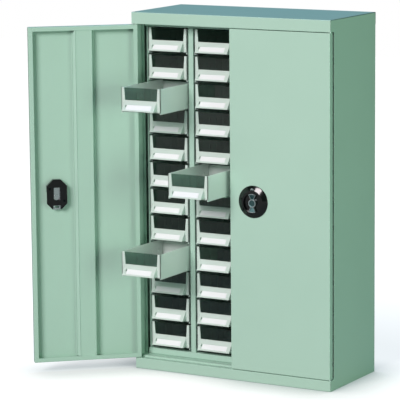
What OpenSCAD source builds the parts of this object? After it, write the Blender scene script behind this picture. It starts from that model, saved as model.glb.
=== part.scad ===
// Parts bin cabinet: a sheet-steel cabinet with two hinged doors in front of a rack of small
// moulded drawers. Every drawer slides on its own pair of runners, and each door has a turn
// handle whose tongue hooks behind a keeper on the middle post of the rack.
// Millimetres, +Z up, front towards -Y. The origin is the middle of the footprint, on the floor.
// The left door stands open and three drawers are pulled out.

/* [Drawers] */
// Columns of drawers, side by side
columns = 4; // [4:2:6]
// Rows of drawers, one above the other
rows = 12; // [10:1:13]
// Width of a drawer
drawer_w = 115; // [105:0.5:125]
// Height of a drawer's side wall
drawer_h = 65; // [60:0.5:75]
// Length of a drawer from the front frame to the back wall
drawer_l = 205; // [195:1:260]
// Thickness of a drawer's side, back and floor
drawer_wall = 2; // [1.6:0.1:2.6]
// How far the side walls run on below the floor, as skids
skid_h = 3; // [2:0.1:4]
// How much lower the back wall is than the sides
back_drop = 5; // [2:0.5:12]
// How far the drawers slide out before they meet their stops
travel = 150; // [145:1:155]
// How far the drawer in column 1, row 3 is pulled out
pull_upper = 136; // [0:1:144]
// How far the drawer in column 2, row 6 is pulled out
pull_middle = 139; // [0:1:144]
// How far the drawer in column 1, row 9 is pulled out
pull_lower = 145; // [0:1:145]

/* [Drawer front] */
// Thickness of the front frame
front_t = 2.5; // [2:0.1:3.5]
// Depth of the window, from the top of the front frame
window_drop = 32; // [26:0.5:34]
// Width of the frame's arms at the top of the window
arm_top = 8; // [6:0.5:11]
// Width of the frame's arms at the bottom of the window
arm_low = 10.5; // [9:0.5:13]
// Distance from the window down to the start of the sloping pull
pull_drop = 1.5; // [1:0.1:3]
// Height of the pull's lower edge
pull_low = 6.5; // [5:0.5:8]
// Height of the upright strip along the pull's lower edge
pull_nose = 2; // [1:0.1:3]
// How far the pull's lower edge stands in front of the frame
pull_reach = 17.5; // [14:0.5:18]
// Thickness of the pull's walls
pull_wall = 2.2; // [2:0.1:2.6]
// Length of the label card
label_w = 73; // [60:1:76]
// Height of the label card, along the slope
label_h = 14; // [10:0.5:15]
// Distance along the slope from the label's lower edge to the strip below it
label_low = 3; // [2:0.1:4]
// Thickness of the label card
label_t = 0.4; // [0.3:0.1:0.6]
// Depth of the recess that the card lies in
label_recess = 0.8; // [0.7:0.1:1.2]
// Room around the card in its recess
label_room = 0.6; // [0.3:0.1:1]
// Distance from the card's left end to the slot that it is pushed out through
label_slot_gap = 1.4; // [1:0.1:2]
// Width of that slot
label_slot_w = 2.5; // [2:0.1:3]
// Height of that slot, along the slope
label_slot_h = 7; // [5:0.5:9]
// Thickness of the clear pane behind the window
pane_t = 1.5; // [1:0.1:2]
// Room at each end of the pane
pane_room = 0.3; // [0.2:0.1:0.6]
// How far the pane's upper edge lies below the drawer's
pane_drop = 0.5; // [0.2:0.1:2]
// How far the ribs that hold the pane end below the top of the wall
pane_rib_drop = 2; // [1:0.5:6]

/* [Drawer divider ribs] */
// Distance of the first divider rib from the front
rib_first = 68; // [40:1:72]
// Distance from one divider rib to the next
rib_pitch = 36; // [25:0.5:40]
// Divider ribs on each side wall
rib_count = 4; // [2:1:4]
// How far the ribs end below the top of the wall
rib_drop = 22; // [10:1:30]
// Width of a rib, along the drawer
rib_w = 1.5; // [1:0.1:2.5]
// How far a rib stands out of the wall
rib_proud = 1.8; // [1:0.1:2.2]
// Length of the hook at the top of a rib
hook_l = 5; // [3:0.5:8]
// Height of the hook at the top of a rib
hook_h = 1.5; // [1:0.1:2.5]

/* [Drawer stop lugs] */
// Length of the stop lug at the back of each side
lug_l = 8; // [6:0.5:10]
// Height of the stop lug
lug_h = 4; // [3:0.5:6]
// How far the stop lug stands out of the side
lug_proud = 3.5; // [2.5:0.1:3.6]
// Gap between the stop lug and the guide that it passes over
lug_lift = 1.3; // [0.5:0.1:2]
// Gap that is left at the stop when the drawer is pulled out all the way
stop_slack = 0.5; // [0.3:0.1:1]

/* [Rack] */
// Width of the posts between the columns
post_w = 14.5; // [12:0.5:20]
// Depth of the posts
post_d = 20; // [15:1:30]
// Width of the uprights at both sides of the rack
upright_w = 5.2; // [4:0.1:8]
// How far the outer uprights are set back from the posts' front
upright_setback = 5.5; // [3:0.5:6.5]
// Sheet thickness of the rack
rack_t = 1.2; // [1:0.1:1.5]
// Gap between a drawer and the post beside it
bay_gap = 4.1; // [4:0.1:5]
// Gap between one drawer and the next one above
row_gap = 5.6; // [5:0.1:9]
// Height of the rack's bottom rails
bottom_rail_h = 15.4; // [12:0.1:20]
// Gap between the bottom rail and the lowest drawer
lowest_gap = 5.9; // [3:0.1:10]
// Gap between the highest drawer and the top rail
highest_gap = 2.5; // [1.5:0.1:6]
// Height of the rack's top rails
top_rail_h = 38.8; // [34:0.1:50]

/* [Runners] */
// Running gap between a drawer and its runners
runner_gap = 0.3; // [0.2:0.05:0.4]
// Height of the guide beside the drawer
guide_h = 10; // [7:0.5:12]
// Width of the ledge, from the post
ledge_w = 9.5; // [7:0.5:12]
// Thickness of the ledge under the drawer
ledge_t = 1.5; // [1.2:0.1:2]
// Length of a runner
runner_l = 190; // [180:1:194]
// How far the runners are set back from the rack's front
runner_setback = 7; // [6:0.5:10]
// Length of the stop bump on the guide
stop_l = 6.5; // [4:0.5:10]

/* [Cabinet] */
// Sheet thickness of the cabinet
sheet_t = 1.2; // [1:0.1:1.5]
// Hairline between pieces that are welded, screwed or slipped together
seam = 0.05; // [0.03:0.01:0.08]
// Height of the strip above the doors
header_h = 30.5; // [26:0.5:36]
// Height of the strip below the doors
plinth_h = 27.3; // [22:0.1:34]
// Step from the top of the plinth up to the cabinet's floor
floor_step = 4.3; // [2:0.1:8]
// Distance from the cabinet's front to the rack's front
rack_setback = 46; // [42:0.5:60]
// Gap between the drawers and the back sheet
back_gap = 1.6; // [1:0.1:20]
// Gap between the rack and each side panel
rack_side_gap = 11.45; // [11.4:0.05:20]
// Width of the jamb beside the rack
jamb_w = 8.8; // [6:0.1:10]
// Depth of the jamb, along the side panel
jamb_d = 20; // [12:1:30]
// Width of the flange around the underside
foot_flange = 15; // [10:1:30]
// Width of the side panels' rear flange
rear_flange = 9; // [6:0.5:10]
// Height of the stiffening fold inside the header
header_fold = 12; // [8:0.5:20]
// Height of the skirt at the back of the top
rear_skirt_h = 30; // [20:1:40]

/* [Doors] */
// Thickness of a door
door_t = 17; // [15:0.5:20]
// Gap around each door
door_gap = 1.6; // [1.2:0.1:2.5]
// Gap between the closed doors and the cabinet behind them
door_back_gap = 3; // [2.5:0.1:6]
// Sheet thickness of a door
door_sheet = 1.2; // [1:0.1:1.5]
// Width of the lip that is folded in around a door
door_lip = 11; // [9:0.5:12]
// Width of the stiffener's flat face
hat_face = 44; // [30:1:60]
// How far each flank of the stiffener slopes outwards
hat_slope = 5.5; // [3:0.5:10]
// Width of the stiffener's feet, which are welded to the door
hat_foot = 8; // [5:0.5:12]
// Angle that the left door stands open
left_door_open = 138.4; // [90:0.1:180]

/* [Hinges] */
// Distance of the hinge pins from the cabinet's side
hinge_inset = 6; // [5.8:0.1:8]
// Diameter of a hinge pin
pin_d = 6; // [5:0.5:7]
// Running gap between a hinge pin and its hole
pin_gap = 0.05; // [0.03:0.01:0.1]
// Diameter of the collar that carries the door
collar_d = 8; // [7.8:0.1:9]
// Gap between a collar and the door
collar_gap = 0.1; // [0.05:0.05:0.3]
// Diameter of the pin's riveted head
head_d = 8.6; // [8:0.1:9]
// Height of the pin's riveted head
head_h = 1.5; // [1:0.1:2]
// Side of the square plate that stiffens the door at a hinge
hinge_plate_w = 30; // [20:1:40]
// Thickness of the plate that stiffens the door at a hinge
hinge_plate_t = 2; // [1.5:0.1:3]
// How far a pin stands out of the hinge plate, inside the door
pin_end = 3; // [2:0.1:5]

/* [Lock outside] */
// Distance of the handle's axis from the middle of the cabinet
hub_inset = 68; // [62:0.5:72]
// Drop of the handle's axis below the keeper
hub_drop = 7.7; // [7:0.1:8.5]
// Row whose lower gap takes the keeper, counted from the top
keeper_row = 6; // [5:1:8]
// Diameter of the round handle plate
dish_d = 83; // [80:0.5:90]
// Height of the handle plate's flat top above the door
dish_h = 7.5; // [6.5:0.1:8.5]
// Height of the handle plate's outer edge
dish_edge_h = 2.2; // [1.8:0.1:3]
// Width of the slope between that edge and the flat top
dish_slope = 12; // [10:0.5:13]
// Bevel around the handle plate's outer edge
dish_bevel = 0.8; // [0.5:0.1:1.5]
// Thickness of the handle plate at the bottom of the handle's hollow
dish_floor = 1.8; // [1.5:0.1:2.5]
// Gap around the turning handle in its hollow
hollow_gap = 1.2; // [0.8:0.1:1.5]
// Height of the handle plate's centre above the handle's axis
dish_rise = 3; // [0:0.1:4]
// Diameter of the handle plate's neck, which passes through the door
neck_d = 24; // [22:0.5:26]
// Gap around the neck in the door
neck_gap = 0.1; // [0.05:0.05:0.3]
// Length of the neck, inside the door
neck_l = 4.4; // [3:0.1:4.6]
// Diameter of the key cylinder
key_d = 9; // [7:0.5:9]
// Wall of the key cylinder's seat
key_wall = 1; // [0.8:0.1:1.2]
// Gap between the handle's hollow and the key cylinder's seat
key_gap = 3.3; // [1:0.1:3.5]
// Height of the key cylinder above the door
key_h = 7; // [6.5:0.1:8]
// Width of the key slot
key_slot_w = 1.4; // [1:0.1:2]

/* [Handle] */
// Length of the handle
handle_l = 47; // [44:0.5:50]
// How far the handle's rounded ends bulge
handle_bulge = 0.5; // [0.2:0.1:1]
// Width of the handle at its ends
handle_w = 21; // [18:0.5:24]
// Width of the handle at its waists
handle_waist = 9; // [7:0.5:12]
// Diameter of the round boss at the handle's middle
handle_boss = 20.5; // [18:0.5:22]
// How far the handle stands out of its hollow
handle_proud = 0.5; // [0.2:0.1:3]
// Gap between the handle and the plate under it
handle_gap = 0.3; // [0.2:0.1:0.5]
// Depth of the hollow in each end of the handle
handle_hollow = 1.6; // [1:0.1:3]
// Width of the raised edge around that hollow
handle_edge = 2; // [1.5:0.1:3]
// How far the spindle's outer end lies below the handle's face
spindle_sunk = 1; // [0.5:0.1:1.5]
// Diameter of the handle's spindle
spindle_d = 10; // [8:0.5:12]
// Running gap around the spindle
spindle_gap = 0.05; // [0.03:0.01:0.1]

/* [Latch] */
// Width of the tongue
tongue_w = 18.6; // [16:0.1:20]
// Length of the tongue, from the handle's axis
tongue_l = 35.5; // [34:0.5:36.5]
// Length of the tongue's tail, on the other side of the axis
tongue_tail = 22.5; // [20:0.1:22.5]
// Bevel at the corners of the tongue's end
tongue_bevel = 2; // [1:0.1:3]
// Bevel at the corners of the tongue's tail
tail_bevel = 1.5; // [1.5:0.1:4]
// Width of the hole near the tongue's end
tongue_hole_w = 10.5; // [8:0.5:12]
// Height of that hole
tongue_hole_h = 5; // [3:0.1:5.5]
// Distance from the tongue's end to that hole
tongue_hole_low = 4.6; // [4:0.1:6]
// Thickness of the tongue
tongue_t = 3; // [2:0.1:3.5]
// Distance from the door's outer face to the tongue
tongue_depth = 6.5; // [6.4:0.1:7]
// Diameter of the screw's shank
screw_d = 5; // [4:0.5:6]
// Diameter of the screw's head
screw_head_d = 9; // [8:0.5:12]
// Height of the screw's head
screw_head_h = 1.6; // [1.2:0.1:2]
// Length of the screw in the spindle
screw_grip = 5; // [4:0.5:6]

/* [Lock inside] */
// Width of the cover over the mechanism
cover_w = 53.5; // [50:0.5:56]
// Height of the cover
cover_h = 80; // [76:0.5:86]
// Size of the cover's cut corners
cover_corner = 17; // [12:0.5:20]
// Thickness of the cover's face
cover_t = 2.5; // [2:0.1:3]
// Thickness of the cover's sides
cover_wall = 2; // [1.6:0.1:2.2]
// Gap between the tongue and the sides of its way out of the cover
tongue_room = 1; // [0.5:0.1:2]
// Distance from the door's outer face to the cover's outside
cover_depth = 15; // [14.8:0.1:15.6]
// Height of the cover's middle above the handle's axis
cover_rise = 3.7; // [2:0.1:5]
// Width of the slot over the tongue
slot_w = 16.4; // [12:0.1:18]
// Length of the slot over the tongue
slot_l = 33.5; // [24:0.5:36]
// Height of the slot's middle above the cover's
slot_rise = 1.8; // [0:0.1:4]
// Height of the notch that the tongue's end shows in
notch_h = 12; // [8:0.5:14]
// Diameter of the screws that hold the cover
cover_screw_d = 6; // [5:0.5:7]
// Height of their heads
cover_screw_h = 1.2; // [0.8:0.1:1.4]
// Distance of those screws from the cover's sides
cover_screw_in = 8; // [7:0.5:10]
// Distance of those screws from the middle of the cover's height
cover_screw_rise = 16; // [12:0.5:18]

/* [Keeper] */
// Thickness of the keeper plate
keeper_t = 3; // [2:0.1:3.4]
// Distance from the middle of the cabinet to the hook
hook_in = 14; // [13.5:0.1:16]
// Width of the hook's arm
hook_arm = 8; // [6:0.5:10]
// Length of the hook's lip
hook_lip = 15.5; // [14.5:0.1:16]
// Thickness of the hook's lip
hook_lip_t = 2; // [1.5:0.1:2.2]
// Distance from the doors' outer face to the hook's lip
hook_depth = 3; // [2.6:0.1:3.2]
// Depth of the plate's cross bar
bar_d = 7; // [5:0.5:8]
// Gap between the closed doors and the cross bar
bar_gap = 2.5; // [2:0.1:4]

/* [Hidden] */
$fn = 64;
tiny = 0.01; // how far a cut runs past the face that it opens
half_drawer = drawer_w / 2;
window_low = drawer_h - window_drop;
pull_half = half_drawer - arm_low;
pull_top = window_low - pull_drop;
slope_drop = pull_top - pull_low - pull_nose;
slope_l = norm([pull_reach, slope_drop]);
slope_angle = atan2(pull_reach, slope_drop);
bay_w = drawer_w + 2 * bay_gap;
column_pitch = bay_w + post_w;
row_pitch = drawer_h + row_gap;
rack_w = columns * bay_w + (columns - 1) * post_w + 2 * upright_w;
cabinet_w = rack_w + 2 * rack_side_gap + 2 * sheet_t;
cabinet_d = rack_setback + drawer_l + back_gap + 2 * sheet_t;
floor_z = plinth_h + floor_step;
rail_top_z = floor_z + bottom_rail_h;
lowest_z = rail_top_z + lowest_gap;
top_rail_z = lowest_z + rows * drawer_h + (rows - 1) * row_gap + highest_gap;
roof_z = top_rail_z + top_rail_h;
cabinet_h = roof_z + sheet_t;
front_y = -cabinet_d / 2;
back_y = cabinet_d / 2;
rack_y = front_y + rack_setback;
rebate_d = door_t + door_back_gap;
door_low = plinth_h + door_gap;
door_high = cabinet_h - header_h - door_gap;
door_w = cabinet_w / 2 - 1.5 * door_gap;
hinge_x = cabinet_w / 2 - hinge_inset;
hinge_y = front_y + door_t / 2;
hinge_edge = hinge_inset - door_gap; // from the hinge axis to the door's hinged edge
hub_x = hinge_x - hub_inset;
keeper_z = lowest_z + (rows - keeper_row) * row_pitch - row_gap / 2;
hub_z = keeper_z - hub_drop;
dish_r = dish_d / 2;
handle_reach = handle_l / 2 + handle_bulge;
hollow_r = handle_reach + hollow_gap;
key_rise = hollow_r + key_gap + key_wall + key_d / 2;
rib_h = drawer_h - rib_drop - skid_h - drawer_wall;
guide_w = bay_gap - runner_gap;
lug_z = guide_h - runner_gap + lug_lift;
stop_y = drawer_l - lug_l - travel - stop_slack;
steel = [0.68, 0.80, 0.74];
steel_shade = [0.60, 0.73, 0.66];
plastic = [0.90, 0.94, 0.92];

function drawer_name(c, r) = str("drawer_c", c, "_r", r < 10 ? "0" : "", r);
function column_x(c) = (c - (columns + 1) / 2) * column_pitch;
function row_z(r) = lowest_z + (rows - r) * row_pitch;
function pull_of(c, r) =
    c == 1 && r == 3 ? pull_upper :
    c == 2 && r == 6 ? pull_middle :
    c == 1 && r == 9 ? pull_lower : 0;

// ---------- drawers ----------

// A profile drawn in (y, z) and swept along x, centred on x = 0
module across(length) {
    translate([-length / 2, 0, 0])
        rotate([90, 0, 90])
            linear_extrude(length)
                children();
}

// A profile drawn in (x, z) and swept along y from y = 0
module backwards(length) {
    translate([0, length, 0])
        rotate([90, 0, 0])
            linear_extrude(length)
                children();
}

// Front frame: two arms that widen downwards, and the band below the window
module front_frame() {
    backwards(front_t)
        polygon([
            [-half_drawer, skid_h], [half_drawer, skid_h],
            [half_drawer, drawer_h], [half_drawer - arm_top, drawer_h],
            [pull_half, window_low], [-pull_half, window_low],
            [arm_top - half_drawer, drawer_h], [-half_drawer, drawer_h]
        ]);
}

// Puts its children on the slope: x along the drawer's width, y up the slope, z out of it
module on_slope() {
    translate([0, -pull_reach / 2, pull_top - slope_drop / 2])
        rotate([90 - slope_angle, 0, 0])
            children();
}

// Puts its children where the label card lies, with the card's middle at the origin
module at_label() {
    on_slope()
        translate([0, label_low + (label_h - slope_l) / 2, -label_recess])
            children();
}

// Sloping pull under the window: a hood between the arms, open below for the fingers
module pull() {
    slot_w = label_slot_gap + label_slot_w;
    difference() {
        across(2 * pull_half)
            polygon([
                [0, pull_low], [0, pull_top],
                [-pull_reach, pull_low + pull_nose], [-pull_reach, pull_low]
            ]);
        pull_hollow();
        // recess for the label, and the slot at its left end
        at_label()
            translate([-label_w / 2 - slot_w, -label_h / 2 - label_room, 0])
                cube([label_w + slot_w + label_room, label_h + 2 * label_room, pull_wall]);
        at_label()
            translate([-label_w / 2 - slot_w, label_h / 2 - label_slot_h, -pull_wall])
                cube([label_slot_w, label_slot_h, 2 * pull_wall]);
    }
}

// Hollow inside the pull
module pull_hollow() {
    reach = pull_reach - pull_wall;
    top = pull_top - pull_wall / sin(slope_angle);
    across(2 * (pull_half - pull_wall))
        polygon([
            [tiny, pull_low - tiny], [tiny, top],
            [-reach, top - reach * slope_drop / pull_reach], [-reach, pull_low - tiny]
        ]);
}

// Ribs on a side wall that hold loose dividers, each with a short hook at its top
module divider_ribs() {
    wall_x = half_drawer - drawer_wall;
    for (i = [0:rib_count - 1])
        translate([wall_x - rib_proud, rib_first + i * rib_pitch, skid_h + drawer_wall]) {
            cube([rib_proud, rib_w, rib_h]);
            translate([0, 0, rib_h - hook_h])
                cube([rib_proud, hook_l, hook_h]);
        }
}

// Right-hand half of what stands on the drawer's floor
module drawer_side() {
    wall_x = half_drawer - drawer_wall;
    keep_y = front_t + pane_t + pane_room;
    translate([wall_x, 0, 0])
        cube([drawer_wall, drawer_l, drawer_h]);
    divider_ribs();
    // rib that keeps the pane against the frame
    translate([wall_x - rib_proud, keep_y, skid_h + drawer_wall])
        cube([rib_proud, rib_w, drawer_h - skid_h - drawer_wall - pane_rib_drop]);
    // stop lug
    translate([half_drawer, drawer_l - lug_l, lug_z])
        cube([lug_proud, lug_l, lug_h]);
}

module drawer_tray() {
    color(plastic) {
        drawer_side();
        mirror([1, 0, 0]) drawer_side();
        translate([-half_drawer, 0, skid_h])
            cube([drawer_w, drawer_l, drawer_wall]);
        translate([-half_drawer, drawer_l - drawer_wall, skid_h])
            cube([drawer_w, drawer_wall, drawer_h - skid_h - back_drop]);
        front_frame();
        pull();
    }
}

module drawer_pane() {
    pane_w = drawer_w - 2 * drawer_wall - 2 * pane_room;
    pane_low = skid_h + drawer_wall;
    color([0.8, 0.88, 0.86, 0.4])
        translate([-pane_w / 2, front_t + seam, pane_low + seam])
            cube([pane_w, pane_t, drawer_h - pane_drop - pane_low]);
}

module drawer_label() {
    color("white")
        at_label()
            translate([-label_w / 2, -label_h / 2, seam])
                cube([label_w, label_h, label_t]);
}

// One drawer in its place in the rack, pulled out as far as pull_of says
module drawer(c, r) {
    translate([column_x(c), rack_y - pull_of(c, r), row_z(r)]) {
        drawer_tray();
        drawer_pane();
        drawer_label();
    }
}

// ---------- rack ----------

// Folded channel that stands upright, its web at y = 0 and its legs towards +Y
module channel(w, d, h) {
    linear_extrude(h)
        polygon([
            [-w / 2, 0], [w / 2, 0], [w / 2, d], [w / 2 - rack_t, d],
            [w / 2 - rack_t, rack_t], [rack_t - w / 2, rack_t],
            [rack_t - w / 2, d], [-w / 2, d]
        ]);
}

// Folded channel that lies across the rack, its web at y = 0 and its legs towards +Y
module rail(h) {
    across(rack_w)
        polygon([
            [0, 0], [post_d, 0], [post_d, rack_t], [rack_t, rack_t],
            [rack_t, h - rack_t], [post_d, h - rack_t], [post_d, h], [0, h]
        ]);
}

// What stands and lies across the front of the rack; its back is the same, turned round
module rack_face(setback) {
    post_z = rail_top_z + seam;
    post_h = top_rail_z - seam - post_z;
    translate([0, 0, floor_z]) rail(bottom_rail_h);
    translate([0, 0, top_rail_z]) rail(top_rail_h);
    for (c = [1:columns - 1])
        translate([column_x(c) + column_pitch / 2, 0, post_z])
            channel(post_w, post_d, post_h);
    for (side = [-1, 1])
        translate([side * (rack_w - upright_w) / 2, setback, post_z])
            channel(upright_w, post_d - setback, post_h);
}

// One of the two hooks of the keeper, in plan
module keeper_hook() {
    lip_y = front_y + hook_depth;
    bar_y = front_y + door_t + bar_gap;
    translate([hook_in, lip_y]) square([hook_arm, bar_y + bar_d - lip_y]);
    translate([hook_in, lip_y]) square([hook_arm + hook_lip, hook_lip_t]);
}

// Plate welded to the middle post; the tongues turn in behind its two hooks
module keeper() {
    bar_y = front_y + door_t + bar_gap;
    translate([0, 0, keeper_z - keeper_t / 2])
        linear_extrude(keeper_t) {
            keeper_hook();
            mirror([1, 0]) keeper_hook();
            translate([-hook_in - hook_arm, bar_y])
                square([2 * (hook_in + hook_arm), bar_d]);
            translate([-post_w / 2, bar_y])
                square([post_w, rack_y - seam - bar_y]);
        }
}

module drawer_rack() {
    color(steel) {
        translate([0, rack_y, 0]) rack_face(upright_setback);
        translate([0, rack_y + drawer_l, 0]) mirror([0, 1, 0]) rack_face(0);
        keeper();
    }
}

// ---------- runners ----------

// Runner on the left of a bay, at the height of its drawer's skids: a guide, a ledge, a stop
module runner() {
    low_z = -runner_gap - ledge_t;
    translate([-bay_w / 2, 0, 0]) {
        translate([0, runner_setback, 0])
            backwards(runner_l)
                polygon([
                    [0, low_z], [ledge_w, low_z], [ledge_w, -runner_gap],
                    [guide_w, -runner_gap], [guide_w, guide_h - runner_gap],
                    [0, guide_h - runner_gap]
                ]);
        translate([0, stop_y - stop_l, 0])
            cube([guide_w, stop_l, lug_z + lug_h + runner_gap]);
    }
}

module drawer_runners() {
    color([0.72, 0.76, 0.74])
        for (c = [1:columns])
            for (r = [1:rows])
                translate([column_x(c), rack_y, row_z(r)]) {
                    runner();
                    mirror([1, 0, 0]) runner();
                }
}

// ---------- cabinet ----------

// Side panel on the right: a sheet notched for the door, with folds at its back and foot
module side_panel() {
    outer_x = cabinet_w / 2;
    front_edge = front_y + sheet_t + seam;
    back_edge = back_y - 2 * sheet_t - seam;
    door_top = cabinet_h - header_h;
    top_edge = roof_z - seam;
    translate([outer_x - sheet_t, 0, 0])
        rotate([90, 0, 90])
            linear_extrude(sheet_t)
                polygon([
                    [front_edge, 0], [back_edge, 0], [back_edge, top_edge],
                    [front_edge, top_edge], [front_edge, door_top],
                    [front_y + rebate_d, door_top], [front_y + rebate_d, plinth_h],
                    [front_edge, plinth_h]
                ]);
    translate([outer_x - sheet_t - rear_flange, back_edge - sheet_t, floor_z + seam])
        cube([rear_flange + tiny, sheet_t, top_edge - floor_z - seam]);
}

// Jamb beside the rack on the right: an angle that stands on the floor
module jamb() {
    translate([cabinet_w / 2 - sheet_t - seam - jamb_w, rack_y, floor_z + seam])
        linear_extrude(roof_z - floor_z - 2 * seam)
            polygon([
                [0, 0], [jamb_w, 0], [jamb_w, jamb_d],
                [jamb_w - sheet_t, jamb_d], [jamb_w - sheet_t, sheet_t], [0, sheet_t]
            ]);
}

// Top: one sheet folded down into the header at the front and the skirt at the back
module top_cap() {
    door_top = cabinet_h - header_h;
    difference() {
        across(cabinet_w)
            polygon([
                [front_y, door_top], [front_y + rebate_d, door_top],
                [front_y + rebate_d, door_top + header_fold],
                [front_y + rebate_d - sheet_t, door_top + header_fold],
                [front_y + rebate_d - sheet_t, door_top + sheet_t],
                [front_y + sheet_t, door_top + sheet_t], [front_y + sheet_t, roof_z],
                [back_y - sheet_t, roof_z], [back_y - sheet_t, cabinet_h - rear_skirt_h],
                [back_y, cabinet_h - rear_skirt_h], [back_y, cabinet_h], [front_y, cabinet_h]
            ]);
        side_room();
        pin_holes(door_top - tiny, sheet_t + 2 * tiny);
    }
}

// Base: plinth, step and floor in one sheet, with a flange around the underside
module base_pan() {
    back_edge = back_y - 2 * sheet_t - seam;
    difference() {
        union() {
            across(cabinet_w)
                polygon([
                    [front_y, 0], [front_y + sheet_t, 0],
                    [front_y + sheet_t, plinth_h - sheet_t],
                    [front_y + rebate_d, plinth_h - sheet_t],
                    [front_y + rebate_d, floor_z - sheet_t], [back_edge, floor_z - sheet_t],
                    [back_edge, floor_z], [front_y + rebate_d - sheet_t, floor_z],
                    [front_y + rebate_d - sheet_t, plinth_h], [front_y, plinth_h]
                ]);
            foot_ring();
        }
        side_room();
        pin_holes(plinth_h - sheet_t - tiny, sheet_t + 2 * tiny);
    }
}

// Flange around the underside, which the cabinet stands on
module foot_ring() {
    ring_y = front_y + sheet_t;
    ring_d = cabinet_d - 3 * sheet_t - seam;
    difference() {
        translate([-cabinet_w / 2, front_y, 0])
            cube([cabinet_w, ring_d + sheet_t, floor_z - sheet_t]);
        translate([sheet_t + sheet_t - cabinet_w / 2, ring_y, sheet_t])
            cube([cabinet_w - 4 * sheet_t, ring_d - sheet_t, floor_z]);
        translate([foot_flange - cabinet_w / 2, ring_y + foot_flange, -tiny])
            cube([cabinet_w - 2 * foot_flange, ring_d - 2 * foot_flange, floor_z]);
        // the step that the doors close into, and below it the room for the hinge pins' heads
        translate([-cabinet_w / 2 - tiny, front_y - tiny, plinth_h - sheet_t])
            cube([cabinet_w + 2 * tiny, rebate_d, floor_z]);
        translate([-cabinet_w / 2 - tiny, ring_y, sheet_t])
            cube([cabinet_w + 2 * tiny, rebate_d - sheet_t, floor_z]);
    }
}

// Room that the top and the base leave for the side panels, behind their front strips
module side_room() {
    for (side = [-1, 1])
        translate([side * (cabinet_w - sheet_t) / 2 - sheet_t / 2 - seam, front_y + sheet_t, -tiny])
            cube([sheet_t + 2 * seam, cabinet_d, roof_z + tiny]);
}

// Holes for the hinge pins through a level sheet
module pin_holes(z, depth) {
    for (side = [-1, 1])
        translate([side * hinge_x, hinge_y, z])
            cylinder(d = pin_d + 2 * pin_gap, h = depth);
}

module back_sheet() {
    translate([-cabinet_w / 2, back_y - 2 * sheet_t, 0])
        cube([cabinet_w, sheet_t - seam, roof_z - seam]);
}

module cabinet_shell() {
    color(steel) {
        side_panel();
        mirror([1, 0, 0]) side_panel();
        jamb();
        mirror([1, 0, 0]) jamb();
        top_cap();
        base_pan();
        back_sheet();
    }
}

// ---------- hinges ----------

// Hinge pin that stands up through a sheet at z = 0: riveted head, shank, collar
module hinge_pin() {
    collar_h = door_gap - collar_gap;
    translate([0, 0, -sheet_t - head_h]) cylinder(d = head_d, h = head_h);
    translate([0, 0, -sheet_t - tiny])
        cylinder(d = pin_d, h = sheet_t + door_gap + door_sheet + hinge_plate_t + pin_end);
    cylinder(d = collar_d, h = collar_h);
}

module hinge_pins() {
    color([0.7, 0.72, 0.72])
        for (side = [-1, 1])
            translate([side * hinge_x, hinge_y, 0]) {
                translate([0, 0, plinth_h]) hinge_pin();
                translate([0, 0, cabinet_h - header_h]) mirror([0, 0, 1]) hinge_pin();
            }
}

// ---------- doors ----------

// A door is drawn closed, from its hinge axis at the origin to its free edge towards +X,
// with its outer face towards -Y

// Sheet pan with its edges folded back and in again as lips
module door_pan() {
    z_h = door_high - door_low;
    outer_y = -door_t / 2;
    difference() {
        translate([-hinge_edge, outer_y, door_low])
            cube([door_w, door_t, z_h]);
        translate([door_sheet - hinge_edge, outer_y + door_sheet, door_low + door_sheet])
            cube([door_w - 2 * door_sheet, door_t - 2 * door_sheet, z_h - 2 * door_sheet]);
        translate([door_lip - hinge_edge, 0, door_low + door_lip])
            cube([door_w - 2 * door_lip, door_t, z_h - 2 * door_lip]);
    }
    for (z = [door_low + door_sheet, door_high - door_sheet - hinge_plate_t])
        translate([door_sheet - hinge_edge, outer_y + door_sheet, z])
            cube([hinge_plate_w, door_t - 2 * door_sheet, hinge_plate_t]);
}

// Hat-shaped stiffener down the middle of a door, welded on by its feet
module stiffener() {
    face_y = door_t / 2;
    sheet_y = door_sheet + seam - face_y;
    half = hat_face / 2;
    wide = half + hat_slope;
    inner = half - door_sheet;
    translate([door_w / 2 - hinge_edge, 0, door_low + door_lip + seam])
        linear_extrude(door_high - door_low - 2 * door_lip - 2 * seam)
            polygon([
                [-wide - hat_foot, sheet_y], [-wide, sheet_y], [-inner, face_y - door_sheet],
                [inner, face_y - door_sheet], [wide, sheet_y], [wide + hat_foot, sheet_y],
                [wide + hat_foot, sheet_y + door_sheet], [wide + door_sheet, sheet_y + door_sheet],
                [half, face_y], [-half, face_y],
                [-wide - door_sheet, sheet_y + door_sheet], [-wide - hat_foot, sheet_y + door_sheet]
            ]);
}

module door() {
    bore = pin_d + 2 * pin_gap;
    depth = door_sheet + hinge_plate_t + 2 * tiny;
    color(steel) {
        difference() {
            door_pan();
            translate([0, 0, door_low - tiny]) cylinder(d = bore, h = depth);
            translate([0, 0, door_high - depth + tiny]) cylinder(d = bore, h = depth);
            at_hub()
                turned_in()
                    translate([0, 0, -tiny])
                        cylinder(d = neck_d + 2 * neck_gap, h = door_sheet + 2 * tiny);
        }
        stiffener();
    }
}

// From the handle's axis on the door's outer face
module at_hub() {
    translate([hub_x, -door_t / 2, hub_z]) children();
}

// Turns a solid that was drawn along +Z to run inwards through the door
module turned_in() {
    rotate([-90, 0, 0]) children();
}

// Puts its children on the left door, in its open place
module on_left_door() {
    translate([-hinge_x, hinge_y, 0])
        rotate([0, 0, -left_door_open])
            children();
}

// Puts its children on the right door, which is closed
module on_right_door() {
    mirror([1, 0, 0])
        translate([-hinge_x, hinge_y, 0])
            children();
}

// ---------- locks ----------

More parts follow.
